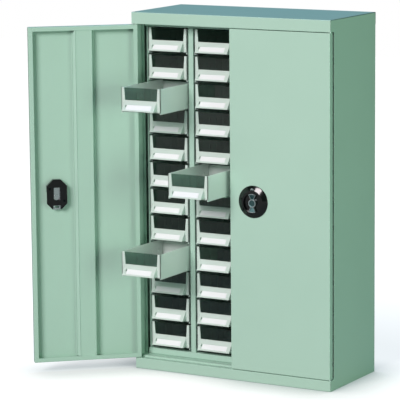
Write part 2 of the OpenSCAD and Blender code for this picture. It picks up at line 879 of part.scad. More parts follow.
// Round handle plate: a slope around a flat top, the handle's hollow, a neck through the door
module handle_plate() {
    difference() {
        union() {
            translate([0, 0, dish_rise])
                turned_in()
                    rotate_extrude()
                        polygon([
                            [0, 0], [0, -dish_h], [dish_r - dish_slope, -dish_h],
                            [dish_r - dish_bevel, -dish_edge_h],
                            [dish_r, dish_bevel - dish_edge_h], [dish_r, 0]
                        ]);
            turned_in() cylinder(d = neck_d, h = neck_l);
            // seat of the key cylinder
            at_key() cylinder(d = key_d + 2 * key_wall, h = key_h);
        }
        turned_in()
            translate([0, 0, -dish_h - tiny])
                cylinder(r = hollow_r, h = dish_h - dish_floor + tiny);
        turned_in()
            translate([0, 0, -dish_h])
                cylinder(d = spindle_d + 2 * spindle_gap, h = dish_h + neck_l + tiny);
        at_key()
            translate([0, 0, -tiny])
                cylinder(d = key_d + 2 * seam, h = key_h + 2 * tiny);
    }
}

// From the key cylinder's outer end, with z running inwards
module at_key() {
    translate([0, -key_h, key_rise]) turned_in() children();
}

module key_cylinder() {
    difference() {
        at_key() cylinder(d = key_d, h = key_h);
        translate([-key_slot_w / 2, -key_h - tiny, key_rise - key_d / 4])
            cube([key_slot_w, key_h / 2, key_d / 2]);
    }
}

// The cover's outline: a rectangle with cut corners
module cover_outline(inset) {
    w = cover_w / 2 - inset;
    h = cover_h / 2 - inset;
    c = cover_corner - inset * (2 - sqrt(2));
    polygon([
        [w - c, -h], [w, c - h], [w, h - c], [w - c, h],
        [c - w, h], [-w, h - c], [-w, c - h], [c - w, -h]
    ]);
}

// Cover over the mechanism inside the door, open where the tongue swings out
module lock_cover() {
    room = tongue_w / 2 + tongue_room;
    slot_end = slot_w / 2;
    slot_z = cover_rise + slot_rise + slot_end - slot_l / 2;
    difference() {
        translate([0, cover_depth, cover_rise])
            rotate([90, 0, 0])
                linear_extrude(cover_depth - door_sheet - seam)
                    cover_outline(0);
        translate([0, cover_depth - cover_t, cover_rise])
            rotate([90, 0, 0])
                linear_extrude(cover_depth)
                    cover_outline(cover_wall);
        // way out for the tongue, from straight down round to the free edge
        translate([-room, 0, -cover_h])
            cube([cover_w, cover_depth - cover_t, cover_h + room]);
        // slot with a round lower end
        translate([-slot_end, 0, slot_z])
            cube([slot_w, 2 * cover_depth, slot_l - slot_end]);
        translate([0, 0, slot_z])
            turned_in()
                cylinder(d = slot_w, h = 2 * cover_depth);
        // notch that the tongue's end shows in
        translate([-room, 0, cover_rise - cover_h / 2 - tiny])
            cube([2 * room, 2 * cover_depth, notch_h + tiny]);
    }
}

// Screw heads on the cover, beside its slot
module cover_screws() {
    for (side = [-1, 1])
        translate([
            side * (cover_w / 2 - cover_screw_in), cover_depth + seam,
            cover_rise + side * cover_screw_rise
        ])
            turned_in()
                cylinder(d = cover_screw_d, h = cover_screw_h);
}

module lock() {
    color([0.05, 0.06, 0.06])
        at_hub() {
            handle_plate();
            lock_cover();
            cover_screws();
        }
    color([0.75, 0.78, 0.78])
        at_hub() key_cylinder();
}

// ---------- handles ----------

// Outline of the handle: two flared ends, two waists and a round boss
module handle_outline(inset) {
    end = handle_l / 2 - inset;
    tip = end + handle_bulge;
    wide = handle_w / 2 - inset;
    waist = handle_waist / 2 - inset * 0.6;
    waist_y = handle_boss / 2;
    polygon([
        [-wide, -end], [0, -tip], [wide, -end], [waist, -waist_y],
        [waist, waist_y], [wide, end], [0, tip], [-wide, end],
        [-waist, waist_y], [-waist, -waist_y]
    ]);
}

module handle() {
    top_y = -dish_h - handle_proud;
    low_y = -dish_floor - handle_gap;
    color([0.10, 0.13, 0.13])
        at_hub()
            difference() {
                union() {
                    translate([0, low_y, 0])
                        rotate([90, 0, 0])
                            linear_extrude(low_y - top_y) {
                                intersection() {
                                    handle_outline(0);
                                    circle(r = handle_reach);
                                }
                                circle(d = handle_boss);
                            }
                    translate([0, top_y + spindle_sunk, 0])
                        turned_in()
                            cylinder(d = spindle_d, h = tongue_depth - top_y - spindle_sunk);
                }
                // hollow in each end, inside a raised edge
                translate([0, top_y + handle_hollow, 0])
                    rotate([90, 0, 0])
                        linear_extrude(handle_hollow + tiny)
                            difference() {
                                handle_outline(handle_edge);
                                circle(d = handle_boss);
                            }
                translate([0, top_y + handle_hollow, 0])
                    rotate([90, 0, 0])
                        cylinder(d = handle_boss - 2 * handle_edge, h = handle_hollow + tiny);
                // tapped hole for the tongue's screw
                translate([0, tongue_depth - screw_grip, 0])
                    turned_in()
                        cylinder(d = screw_d + 2 * seam, h = screw_grip + tiny);
            }
}

// Outline of the tongue: its end below, its tail above the handle's axis
module tongue_outline() {
    half = tongue_w / 2;
    difference() {
        polygon([
            [tongue_bevel - half, -tongue_l], [half - tongue_bevel, -tongue_l],
            [half, tongue_bevel - tongue_l], [half, tongue_tail - tail_bevel],
            [half - tail_bevel, tongue_tail], [tail_bevel - half, tongue_tail],
            [-half, tongue_tail - tail_bevel], [-half, tongue_bevel - tongue_l]
        ]);
        translate([-tongue_hole_w / 2, tongue_hole_low - tongue_l])
            square([tongue_hole_w, tongue_hole_h]);
        circle(d = screw_d + 2 * seam);
    }
}

// Tongue on the end of the spindle, and the screw that holds it there
module latch() {
    color([0.78, 0.81, 0.82])
        at_hub() {
            translate([0, tongue_depth + tongue_t, 0])
                rotate([90, 0, 0])
                    linear_extrude(tongue_t)
                        tongue_outline();
            translate([0, tongue_depth + seam - screw_grip, 0])
                turned_in()
                    cylinder(d = screw_d, h = screw_grip + tongue_t);
            translate([0, tongue_depth + tongue_t + seam, 0])
                turned_in()
                    cylinder(d = screw_head_d, h = screw_head_h);
        }
}

module left_door() { on_left_door() door(); }
module left_lock() { on_left_door() lock(); }
module left_handle() { on_left_door() handle(); }
module left_latch() { on_left_door() latch(); }
module right_door() { on_right_door() door(); }
module right_lock() { on_right_door() lock(); }
module right_handle() { on_right_door() handle(); }
module right_latch() { on_right_door() latch(); }

cabinet_shell();
drawer_rack();
drawer_runners();
hinge_pins();
left_door();
left_lock();
left_handle();
left_latch();
right_door();
right_lock();
right_handle();
right_latch();
for (c = [1:columns])
    for (r = [1:rows])
        drawer(c, r);
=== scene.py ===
"""Parts bin cabinet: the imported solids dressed, and their visible pieces modelled in full detail.

Metres, in the cabinet's own frame: +X to its right, +Y to its back, +Z up, origin on the floor
under the middle of the case.
"""
import math

import bmesh
import bpy
from mathutils import Matrix, Vector


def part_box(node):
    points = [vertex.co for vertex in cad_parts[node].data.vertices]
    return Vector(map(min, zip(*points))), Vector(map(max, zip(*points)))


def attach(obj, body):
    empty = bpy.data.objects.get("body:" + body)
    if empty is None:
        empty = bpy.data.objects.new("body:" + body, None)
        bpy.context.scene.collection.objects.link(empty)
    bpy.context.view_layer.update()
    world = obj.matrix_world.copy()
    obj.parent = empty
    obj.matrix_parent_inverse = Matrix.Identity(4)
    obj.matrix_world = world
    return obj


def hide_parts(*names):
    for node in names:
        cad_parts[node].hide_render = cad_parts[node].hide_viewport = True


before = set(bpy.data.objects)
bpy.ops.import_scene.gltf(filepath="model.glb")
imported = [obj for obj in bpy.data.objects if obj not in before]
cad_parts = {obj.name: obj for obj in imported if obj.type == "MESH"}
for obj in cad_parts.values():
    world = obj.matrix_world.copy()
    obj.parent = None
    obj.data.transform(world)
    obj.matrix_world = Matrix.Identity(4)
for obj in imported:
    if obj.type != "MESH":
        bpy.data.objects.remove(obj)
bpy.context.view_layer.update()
mm = 0.001


# ---------------------------------------------------------------------------
# Camera: a long lens from the front right, high enough to see a little of the case's top, with a
# roll of half a degree
# ---------------------------------------------------------------------------
camera_place = Vector((2968.56, -5435.06, 1485.42)) * mm
camera_turn = 29.934  # degrees from straight in front, towards the right
camera_tilt = 9.486  # degrees down
camera_roll = -0.515  # degrees
lens_length = 218.24
sensor_width = 36
farthest_seen = 50

camera = bpy.data.objects.new("camera", bpy.data.cameras.new("camera"))
camera.data.lens = lens_length
camera.data.sensor_width = sensor_width
camera.data.clip_end = farthest_seen
camera.matrix_world = (
    Matrix.Translation(camera_place)
    @ Matrix.Rotation(math.radians(camera_turn), 4, "Z")
    @ Matrix.Rotation(math.radians(90 - camera_tilt), 4, "X")
    @ Matrix.Rotation(math.radians(camera_roll), 4, "Z")
)
bpy.context.scene.collection.objects.link(camera)
bpy.context.scene.camera = camera
bpy.context.scene.view_settings.view_transform = "Standard"


# ---------------------------------------------------------------------------
# Floor and light: a white paper sweep, a large soft lamp high in front, a weak one low at the
# right, and a small cool one above the top of the case
# ---------------------------------------------------------------------------
floor_size = 14
floor_drop = 0.2 * mm  # keeps the floor clear of the flanges that stand on it
floor_white = "#A8ADAA"
# painted shadow: near the case and under the door, the floor's camera-only white is coloured teal
painted_shadow_teal = "#35595C"  # what the lift turns to in the narrow gap under the case and the door
shadow_reach = 130 * mm
shadow_full = 0.25  # open share of the sky at which that colour is reached
lift_near = 0.78  # white that the camera alone sees beside the case
lift_far = 1.0  # and further out, so that the floor runs out to white
lift_starts = 0.45  # distance from the middle of the case
lift_ends = 1.1
room_green = "#B4E6CC"
room_level = 0.06
room_in_gloss = 0.14  # the same room as polished pieces show it


def srgb(code):
    """Linear colour of an sRGB hex value such as #AECDBE."""
    channels = [int(code[i : i + 2], 16) / 255 for i in (1, 3, 5)]
    linear = [c / 12.92 if c <= 0.04045 else ((c + 0.055) / 1.055) ** 2.4 for c in channels]
    return (*linear, 1)


def add(tree, kind, links=None, **settings):
    """Adds a shader node; links maps an input to a value or to another node's output."""
    node = tree.nodes.new(kind)
    for name, value in settings.items():
        setattr(node, name, value)
    for socket, source in (links or {}).items():
        if isinstance(source, bpy.types.NodeSocket):
            tree.links.new(source, node.inputs[socket])
        else:
            node.inputs[socket].default_value = source
    return node


def blank_material(name):
    """A material whose node tree is still empty."""
    material = bpy.data.materials.new(name)
    material.use_nodes = True
    material.node_tree.nodes.clear()
    return material


paper_floor = blank_material("white_paper_floor")
tree = paper_floor.node_tree
matt = add(tree, "ShaderNodeBsdfDiffuse", {"Color": srgb(floor_white)})
place = add(tree, "ShaderNodeTexCoord").outputs["Object"]
from_case = add(tree, "ShaderNodeVectorMath", {0: place}, operation="LENGTH")
lift = add(
    tree,
    "ShaderNodeMapRange",
    {
        "Value": from_case.outputs["Value"],
        "From Min": lift_starts,
        "From Max": lift_ends,
        "To Min": lift_near,
        "To Max": lift_far,
    },
)
seen = add(tree, "ShaderNodeLightPath")
strength = add(
    tree,
    "ShaderNodeMath",
    {0: seen.outputs["Is Camera Ray"], 1: lift.outputs[0]},
    operation="MULTIPLY",
)
# painted contact shadow: where the case and the door hide the sky, the camera-only white turns teal
corner = add(tree, "ShaderNodeAmbientOcclusion", {"Distance": shadow_reach}, samples=16)
open_share = add(
    tree, "ShaderNodeMapRange", {"Value": corner.outputs["AO"], "From Min": shadow_full}
)
tone = add(
    tree,
    "ShaderNodeMix",
    {0: open_share.outputs[0], 6: srgb(painted_shadow_teal), 7: (1, 1, 1, 1)},
    data_type="RGBA",
)
glow = add(tree, "ShaderNodeEmission", {"Color": tone.outputs[2], "Strength": strength.outputs[0]})
both = add(tree, "ShaderNodeAddShader", {0: matt.outputs[0], 1: glow.outputs[0]})
add(tree, "ShaderNodeOutputMaterial", {"Surface": both.outputs[0]})

bm = bmesh.new()
bmesh.ops.create_grid(bm, x_segments=1, y_segments=1, size=floor_size / 2)
bmesh.ops.translate(bm, verts=bm.verts, vec=(0, 0, -floor_drop))
floor_mesh = bpy.data.meshes.new("floor")
bm.to_mesh(floor_mesh)
bm.free()
floor = bpy.data.objects.new("floor", floor_mesh)
floor_mesh.materials.append(paper_floor)
bpy.context.scene.collection.objects.link(floor)

world = bpy.data.worlds.new("studio")
bpy.context.scene.world = world
world.use_nodes = True
tree = world.node_tree
tree.nodes.clear()
rays = add(tree, "ShaderNodeLightPath")
gloss_share = add(
    tree,
    "ShaderNodeMapRange",
    {"Value": rays.outputs["Is Glossy Ray"], "To Min": room_level, "To Max": room_in_gloss},
)
room = add(
    tree,
    "ShaderNodeBackground",
    {"Color": srgb(room_green), "Strength": gloss_share.outputs[0]},
)
white = add(tree, "ShaderNodeBackground", {"Color": (1, 1, 1, 1), "Strength": 1})
shown = add(
    tree,
    "ShaderNodeMath",
    {0: rays.outputs["Is Camera Ray"], 1: rays.outputs["Is Transmission Ray"]},
    operation="MAXIMUM",
)
mixed = add(
    tree, "ShaderNodeMixShader", {0: shown.outputs[0], 1: room.outputs[0], 2: white.outputs[0]}
)
add(tree, "ShaderNodeOutputWorld", {"Surface": mixed.outputs[0]})


def soft_lamp(name, place, aim, size, power, colour):
    """A rectangular lamp at a place, aimed at a point; its power is in watts."""
    lamp = bpy.data.objects.new(name, bpy.data.lights.new(name, "AREA"))
    lamp.data.shape = "RECTANGLE"
    lamp.data.size, lamp.data.size_y = size
    lamp.data.energy = power
    lamp.data.color = srgb(colour)[:3]
    lamp.location = place
    lamp.rotation_euler = (Vector(aim) - Vector(place)).to_track_quat("-Z", "Y").to_euler()
    bpy.context.scene.collection.objects.link(lamp)


soft_lamp("key_lamp", (-0.9, -8.1, 4.5), (0, -0.1, 0.5), (3.5, 3.5), 770, "#FFF7F9")
soft_lamp("side_lamp", (2.7, -0.65, 0.6), (0, -0.1, 0.5), (1.4, 1.4), 31, "#E4FFEA")
soft_lamp("top_lamp", (0, 0.4, 2.6), (0, 0, 0.9), (1.0, 1.0), 20, "#8FC8FF")


# ---------------------------------------------------------------------------
# Case: two side panels, top cap, base pan, jambs and back sheet, folded from 1.2 mm steel
# sheet and spot-welded, then sprayed with pale green stove enamel
# ---------------------------------------------------------------------------
enamel_pale = "#B0D0C0"
enamel_deep = "#A9CAB9"
enamel_rough = 0.3
coat_drift = 200 * mm  # the spray coat gets thicker and thinner over a hand's width
peel_width = 2 * mm
peel_height = 0.01 * mm


def stove_enamel(name, pale, deep, rough):
    """Stoved alkyd enamel: smooth, half glossy, with the faint orange peel of a spray coat."""
    material = blank_material(name)
    tree = material.node_tree
    place = add(tree, "ShaderNodeTexCoord").outputs["Object"]
    drift = add(tree, "ShaderNodeTexNoise", {"Vector": place, "Scale": 1 / coat_drift})
    tint = add(
        tree,
        "ShaderNodeMix",
        {0: drift.outputs["Fac"], 6: srgb(deep), 7: srgb(pale)},
        data_type="RGBA",
    )
    peel = add(
        tree, "ShaderNodeTexNoise", {"Vector": place, "Scale": 1 / peel_width, "Detail": 1.0}
    )
    bump = add(
        tree,
        "ShaderNodeBump",
        {"Height": peel.outputs["Fac"], "Distance": peel_height, "Strength": 0.5},
    )
    paint = add(
        tree,
        "ShaderNodeBsdfPrincipled",
        {
            "Base Color": tint.outputs[2],
            "Roughness": rough,
            "IOR": 1.5,
            "Normal": bump.outputs["Normal"],
        },
    )
    add(tree, "ShaderNodeOutputMaterial", {"Surface": paint.outputs[0]})
    return material


case_enamel = stove_enamel("pale_green_stove_enamel", enamel_pale, enamel_deep, enamel_rough)

smooth_below = math.radians(12)  # an edge that turns by more than this stays sharp


def place_piece(name, bm, materials, body, replaced=()):
    """Makes an object of a bmesh that is already in place, and seats it on its body."""
    for face in bm.faces:
        face.smooth = True
    for edge in bm.edges:
        edge.smooth = len(edge.link_faces) == 2 and edge.calc_face_angle(0) < smooth_below
    mesh = bpy.data.meshes.new(name)
    bm.to_mesh(mesh)
    bm.free()
    piece = bpy.data.objects.new(name, mesh)
    bpy.context.scene.collection.objects.link(piece)
    for material in materials:
        mesh.materials.append(material)
    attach(piece, body)
    if replaced:
        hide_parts(*replaced)
    return piece


def in_order(elements):
    """Each element once, in the order met, so that every run cuts the same mesh."""
    return list(dict.fromkeys(elements))


sheet_bend = 1.6 * mm


def folded_sheet(bm, outline, sweep, thickness, bend=sheet_bend):
    """A sheet folded along an open outline and swept, on the side where outline x sweep points."""
    verts = [bm.verts.new(point) for point in outline]
    edges = [bm.edges.new(pair) for pair in zip(verts, verts[1:])]
    made = bmesh.ops.extrude_edge_only(bm, edges=edges)
    moved = [v for v in made["geom"] if isinstance(v, bmesh.types.BMVert)]
    bmesh.ops.translate(bm, verts=moved, vec=sweep)
    faces = in_order(f for v in moved for f in v.link_faces)
    folds = in_order(e for f in faces for e in f.edges if len(e.link_faces) == 2)
    if folds:
        made = bmesh.ops.bevel(
            bm,
            geom=folds,
            offset=bend,
            affect="EDGES",
            segments=3,
            profile=0.5,
            material=-1,
            clamp_overlap=True,
        )
        faces = in_order([f for f in faces if f.is_valid] + list(made["faces"]))
    bmesh.ops.solidify(bm, geom=faces, thickness=thickness)


def flip_left(bm):
    """The same piece for the left-hand side."""
    copy = bm.copy()
    bmesh.ops.scale(copy, verts=copy.verts, vec=(-1, 1, 1))
    bmesh.ops.reverse_faces(copy, faces=copy.faces)
    return copy


case_low, case_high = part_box("cabinet_shell")
case_right, case_front, case_back, case_top = case_high.x, case_low.y, case_high.y, case_high.z
sheet = 1.2 * mm
seam = 0.05 * mm
header_height = 30.5 * mm
header_fold = 12 * mm
plinth_height = 27.3 * mm
floor_step = 4.3 * mm
floor_level = plinth_height + floor_step
door_rebate = 20 * mm
foot_flange = 15 * mm
rear_flange = 9 * mm
rear_skirt = 30 * mm
jamb_width = 8.8 * mm
jamb_depth = 20 * mm
rack_setback = 46 * mm
rack_front = case_front + rack_setback
roof_under = case_top - sheet
door_top = case_top - header_height
panel_front = case_front + sheet + seam
panel_back = case_back - 2 * sheet - seam

# side panel: a flat sheet notched for the door, with a flange folded in at its back
bm = bmesh.new()
notch = case_front + door_rebate
outline = [
    (panel_front, 0), (panel_back, 0), (panel_back, roof_under - seam),
    (panel_front, roof_under - seam), (panel_front, door_top), (notch, door_top),
    (notch, plinth_height), (panel_front, plinth_height),
]
panel = bm.faces.new([bm.verts.new((case_right, y, z)) for y, z in outline])
rear_edge = [e for e in panel.edges if all(abs(v.co.y - panel_back) < seam / 2 for v in e.verts)]
made = bmesh.ops.extrude_edge_only(bm, edges=rear_edge)
moved = [v for v in made["geom"] if isinstance(v, bmesh.types.BMVert)]
bmesh.ops.translate(bm, verts=moved, vec=(-rear_flange - sheet, 0, 0))
bmesh.ops.bevel(
    bm, geom=rear_edge, offset=sheet_bend, affect="EDGES", segments=3, profile=0.5, material=-1
)
bmesh.ops.solidify(bm, geom=bm.faces[:], thickness=sheet)
left_panel = flip_left(bm)
place_piece("side_panel_right", bm, [case_enamel], "cabinet", ("cabinet_shell",))
place_piece("side_panel_left", left_panel, [case_enamel], "cabinet")

# top cap: one sheet from the fold inside the header to the skirt at the back
cap_fold_room = 2 * mm  # what the fold between top and header takes up below the roof
bm = bmesh.new()
profile = [
    (notch, door_top + header_fold), (notch, door_top), (case_front, door_top),
    (case_front, case_top), (case_back, case_top), (case_back, case_top - rear_skirt),
]
folded_sheet(bm, [(-case_right, y, z) for y, z in profile], (2 * case_right, 0, 0), sheet)
for vert in bm.verts:
    behind_front = vert.co.y > panel_front and vert.co.z < roof_under - cap_fold_room
    if behind_front and vert.co.y < panel_back and abs(vert.co.x) > case_right - sheet:
        vert.co.x = math.copysign(case_right - sheet - seam, vert.co.x)
place_piece("top_cap", bm, [case_enamel], "cabinet")

# base pan: a flange under the plinth, the plinth, the step that the doors close into, the floor
bm = bmesh.new()
step = notch - sheet
profile = [
    (case_front + foot_flange, 0), (case_front, 0), (case_front, plinth_height),
    (step, plinth_height), (step, floor_level), (panel_back, floor_level),
]
folded_sheet(bm, [(-case_right, y, z) for y, z in profile], (2 * case_right, 0, 0), sheet)
for vert in bm.verts:
    if vert.co.y > panel_front and abs(vert.co.x) > case_right - sheet:
        vert.co.x = math.copysign(case_right - sheet - seam, vert.co.x)
inner_side = case_right - sheet - seam
for side in (-1, 1):
    edge = [
        (side * inner_side, floor_level - 2 * sheet), (side * inner_side, 0),
        (side * (inner_side - foot_flange), 0),
    ]
    run = (0, side * (notch - panel_back), 0)
    start = panel_back if side > 0 else notch
    folded_sheet(bm, [(x, start, z) for x, z in edge], run, sheet)
back_edge = [
    (panel_back, floor_level - 2 * sheet), (panel_back, 0), (panel_back - foot_flange, 0),
]
flange_end = inner_side - foot_flange
folded_sheet(bm, [(-flange_end, y, z) for y, z in back_edge], (2 * flange_end, 0, 0), sheet)
place_piece("base_pan", bm, [case_enamel], "cabinet")


def add_box(bm, low, high):
    """A box between two corners; returns its vertices."""
    low, high = Vector(low), Vector(high)
    size = high - low
    made = bmesh.ops.create_cube(bm, size=1)
    bmesh.ops.scale(bm, verts=made["verts"], vec=size)
    bmesh.ops.translate(bm, verts=made["verts"], vec=(low + high) / 2)
    return made["verts"]


def round_edges(bm, width, segments=2, sharper_than=30):
    """Rounds every edge that turns by more than an angle in degrees."""
    bm.normal_update()
    edges = [
        e
        for e in bm.edges
        if len(e.link_faces) == 2 and e.calc_face_angle(0) > math.radians(sharper_than)
    ]
    bmesh.ops.bevel(
        bm,
        geom=edges,
        offset=width,
        affect="EDGES",
        segments=segments,
        profile=0.5,
        material=-1,
        clamp_overlap=True,
    )


# back sheet: flat, laid against the flanges of the side panels
sheared_edge = 0.2 * mm
bm = bmesh.new()
add_box(
    bm,
    (-case_right, case_back - 2 * sheet, 0),
    (case_right, case_back - sheet - seam, roof_under - seam),
)
round_edges(bm, sheared_edge, 1)
place_piece("back_sheet", bm, [case_enamel], "cabinet")

# jambs: angles that stand on the floor beside the rack
bm = bmesh.new()
jamb_side = case_right - sheet - seam
profile = [
    (jamb_side - jamb_width, rack_front), (jamb_side, rack_front),
    (jamb_side, rack_front + jamb_depth),
]
jamb_height = roof_under - floor_level - 2 * seam
folded_sheet(bm, [(x, y, roof_under - seam) for x, y in profile], (0, 0, -jamb_height), sheet)
left_jamb = flip_left(bm)
place_piece("jamb_right", bm, [case_enamel], "cabinet")
place_piece("jamb_left", left_jamb, [case_enamel], "cabinet")


# ---------------------------------------------------------------------------
# Rack: channels folded from the same sheet, welded into a front and a back, with a flat keeper
# plate on the middle post that the tongues of both latches turn in behind
# ---------------------------------------------------------------------------
rack_low, rack_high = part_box("drawer_rack")
rack_back = rack_high.y
rail_top = 47 * mm
top_rail_drop = 40 * mm
top_rail = case_top - top_rail_drop
post_width = 14.5 * mm
post_depth = 20 * mm
upright_width = 5.2 * mm
upright_setback = 5.5 * mm
column_pitch = 137.7 * mm
column_count = 4


def channel_up(bm, x, y, width, depth, turn):
    """A post: web towards the front when turn is 1, towards the back when it is -1."""
    profile = [
        (x - width / 2, y + turn * depth), (x - width / 2, y),
        (x + width / 2, y), (x + width / 2, y + turn * depth),
    ]
    height = top_rail - rail_top - 2 * seam
    start = top_rail - seam if turn > 0 else rail_top + seam
    folded_sheet(bm, [(px, py, start) for px, py in profile], (0, 0, -turn * height), sheet)


def channel_across(bm, y, low, high, turn):
    """A rail, its web at y and its legs towards the middle of the rack."""
    profile = [(y + turn * post_depth, low), (y, low), (y, high), (y + turn * post_depth, high)]
    start = turn * rack_low.x
    folded_sheet(bm, [(start, py, z) for py, z in profile], (-2 * start, 0, 0), sheet)


bm = bmesh.new()
for y, turn in ((rack_front, 1), (rack_back, -1)):
    channel_across(bm, y, floor_level, rail_top, turn)
    channel_across(bm, y, top_rail, roof_under, turn)
    for i in range(1, column_count):
        x = (i - column_count / 2) * column_pitch
        channel_up(bm, x, y, post_width, post_depth, turn)
    back_off = upright_setback if turn > 0 else 0
    for side in (-1, 1):
        x = side * (rack_high.x - upright_width / 2)
        channel_up(bm, x, y + back_off, upright_width, post_depth - back_off, turn)
place_piece("rack_frame", bm, [case_enamel], "cabinet", ("drawer_rack",))

keeper_level = 473.7 * mm
keeper_thickness = 3 * mm
keeper_bar = case_front + 19.5 * mm
keeper_bar_depth = 7 * mm
hook_inside = 14 * mm
hook_outside = 22 * mm
hook_tip = 37.5 * mm
hook_front = case_front + 3 * mm
hook_lip = 2 * mm
keeper_edge = 0.4 * mm
right_half = [
    (0, keeper_bar), (hook_inside, keeper_bar), (hook_inside, hook_front),
    (hook_tip, hook_front), (hook_tip, hook_front + hook_lip),
    (hook_outside, hook_front + hook_lip), (hook_outside, keeper_bar + keeper_bar_depth),
    (post_width / 2, keeper_bar + keeper_bar_depth), (post_width / 2, rack_front - seam),
    (0, rack_front - seam),
]
outline = right_half + [(-x, y) for x, y in reversed(right_half[1:-1])]
bm = bmesh.new()
plate = bm.faces.new(
    [bm.verts.new((x, y, keeper_level - keeper_thickness / 2)) for x, y in outline]
)
made = bmesh.ops.extrude_face_region(bm, geom=[plate])
moved = [v for v in made["geom"] if isinstance(v, bmesh.types.BMVert)]
bmesh.ops.translate(bm, verts=moved, vec=(0, 0, keeper_thickness))
bmesh.ops.recalc_face_normals(bm, faces=bm.faces)
round_edges(bm, keeper_edge)
place_piece("keeper_plate", bm, [case_enamel], "cabinet")


# ---------------------------------------------------------------------------
# Runners: 96 strips of zinc-plated steel, each folded to a ledge that the drawer's skid slides on
# and a guide beside it, and hooked into the posts
# ---------------------------------------------------------------------------
runner_grey = "#A9B0B2"
runner_rough = 0.45
clouds_per_metre = 180  # each cloud of the plating is 5 to 6 mm across
cloud_brighter = 0.06
cloud_duller = 0.08


def plated_steel(name, colour, rough):
    """Zinc plate on steel: grey, with a cloudy grain of a few millimetres."""
    material = blank_material(name)
    tree = material.node_tree
    place = add(tree, "ShaderNodeTexCoord").outputs["Object"]
    cloud = add(
        tree, "ShaderNodeTexNoise", {"Vector": place, "Scale": clouds_per_metre, "Detail": 3.0}
    )
    spread = add(
        tree,
        "ShaderNodeMapRange",
        {
            "Value": cloud.outputs["Fac"],
            "To Min": rough - cloud_brighter,
            "To Max": rough + cloud_duller,
        },
    )
    metal = add(
        tree,
        "ShaderNodeBsdfPrincipled",
        {"Base Color": srgb(colour), "Metallic": 1.0, "Roughness": spread.outputs[0]},
    )
    add(tree, "ShaderNodeOutputMaterial", {"Surface": metal.outputs[0]})
    return material


def dress(node, material):
    """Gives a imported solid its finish."""
    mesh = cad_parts[node].data
    mesh.materials.clear()
    mesh.materials.append(material)


dress("drawer_runners", plated_steel("zinc_plated_strip", runner_grey, runner_rough))


# ---------------------------------------------------------------------------
# Hinge pins: four of turned steel, bright, riveted into the case above and below each door, with
# a collar that the door rests on
# ---------------------------------------------------------------------------
pin_bright = "#D5DADA"
pin_rough = 0.28
dress("hinge_pins", plated_steel("bright_turned_steel", pin_bright, pin_rough))


# ---------------------------------------------------------------------------
# Doors: each a pan folded from one sheet, with plates at its ends for the hinge pins and a
# hat-shaped stiffener welded down the middle of its inside, enamelled with the case
# ---------------------------------------------------------------------------
door_low, door_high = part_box("right_door")
door_width = door_high.x - door_low.x
door_thickness = door_high.y - door_low.y
door_open = 138.4  # degrees, the left door's place at rest
hinge_inset = 4.4 * mm  # from the door's hinged edge to its pins
door_lip = 11 * mm
hinge_from_side = 6 * mm
hinge_across = case_right - hinge_from_side
hinge_back = (door_low.y + door_high.y) / 2
hat_face = 44 * mm
hat_slope = 5.5 * mm
hat_foot = 8 * mm
hat_bend = 2 * mm
hinge_plate_width = 30 * mm
hinge_plate_thickness = 2 * mm

on_left_door = Matrix.Translation((-hinge_across, hinge_back, 0)) @ Matrix.Rotation(
    math.radians(-door_open), 4, "Z"
)
on_right_door = Matrix.Scale(-1, 4, (1, 0, 0)) @ Matrix.Translation(
    (-hinge_across, hinge_back, 0)
)


def hang(bm, place):
    """Moves a piece that was drawn on a closed left door, hinge at the origin, to its door."""
    bmesh.ops.transform(bm, matrix=place, verts=bm.verts)
    if place.determinant() < 0:
        bmesh.ops.reverse_faces(bm, faces=bm.faces)
    return bm


def door_pan():
    """A tray of sheet: edges folded back, and in again as lips."""
    bm = bmesh.new()
    add_box(
        bm,
        (-hinge_inset, -door_thickness / 2, door_low.z),
        (door_width - hinge_inset, door_thickness / 2, door_high.z),
    )
    bm.normal_update()
    back = max(bm.faces, key=lambda f: f.normal.y)
    bmesh.ops.inset_region(bm, faces=[back], thickness=door_lip, use_even_offset=True)
    bmesh.ops.delete(bm, geom=[back], context="FACES_ONLY")
    folds = [e for e in bm.edges if len(e.link_faces) == 2 and e.calc_face_angle(0) > 1]
    bmesh.ops.bevel(
        bm, geom=folds, offset=sheet_bend, affect="EDGES", segments=3, profile=0.5, material=-1
    )
    bmesh.ops.solidify(bm, geom=bm.faces[:], thickness=sheet)
    inside = door_thickness / 2 - sheet
    for z in (door_low.z + sheet, door_high.z - sheet - hinge_plate_thickness):
        add_box(
            bm,
            (2 * sheet - hinge_inset, -inside, z),
            (hinge_plate_width - hinge_inset, inside, z + hinge_plate_thickness),
        )
    return bm


def hat_stiffener():
    """A hat section, its feet welded to the face sheet."""
    middle = door_width / 2 - hinge_inset
    foot_y = sheet + seam - door_thickness / 2
    face_y = door_thickness / 2 - sheet
    half = hat_face / 2
    profile = [
        (-half - hat_slope - hat_foot, foot_y), (-half - hat_slope, foot_y), (-half, face_y),
        (half, face_y), (half + hat_slope, foot_y), (half + hat_slope + hat_foot, foot_y),
    ]
    low = door_low.z + door_lip + seam
    high = door_high.z - door_lip - seam
    bm = bmesh.new()
    outline = [(middle + x, y, high) for x, y in profile]
    folded_sheet(bm, outline, (0, 0, low - high), sheet, hat_bend)
    return bm


for side, place in (("left", on_left_door), ("right", on_right_door)):
    body = side + "_door"
    place_piece(
        side + "_door_pan", hang(door_pan(), place), [case_enamel], body, (body,)
    )
    place_piece(
        side + "_door_stiffener",
        hang(hat_stiffener(), place),
        [case_enamel],
        body,
    )


# ---------------------------------------------------------------------------
# Locks: a round plate of black ABS outside each door, its neck through the door, with a zinc
# key cylinder pressed in; inside, an octagonal black cover held by two black screws
# ---------------------------------------------------------------------------
gloss_black = "#07090A"
gloss_rough = 0.12
waves_per_metre = 120  # flow marks about 8 mm across
wave_height = 0.04 * mm
key_nickel = "#C9D2D4"
key_rough = 0.25
screw_black = "#1A2224"
screw_rough = 0.4
plate_edge = 0.7 * mm
cover_edge = 0.8 * mm
key_edge = 0.25 * mm
screw_edge = 0.4 * mm


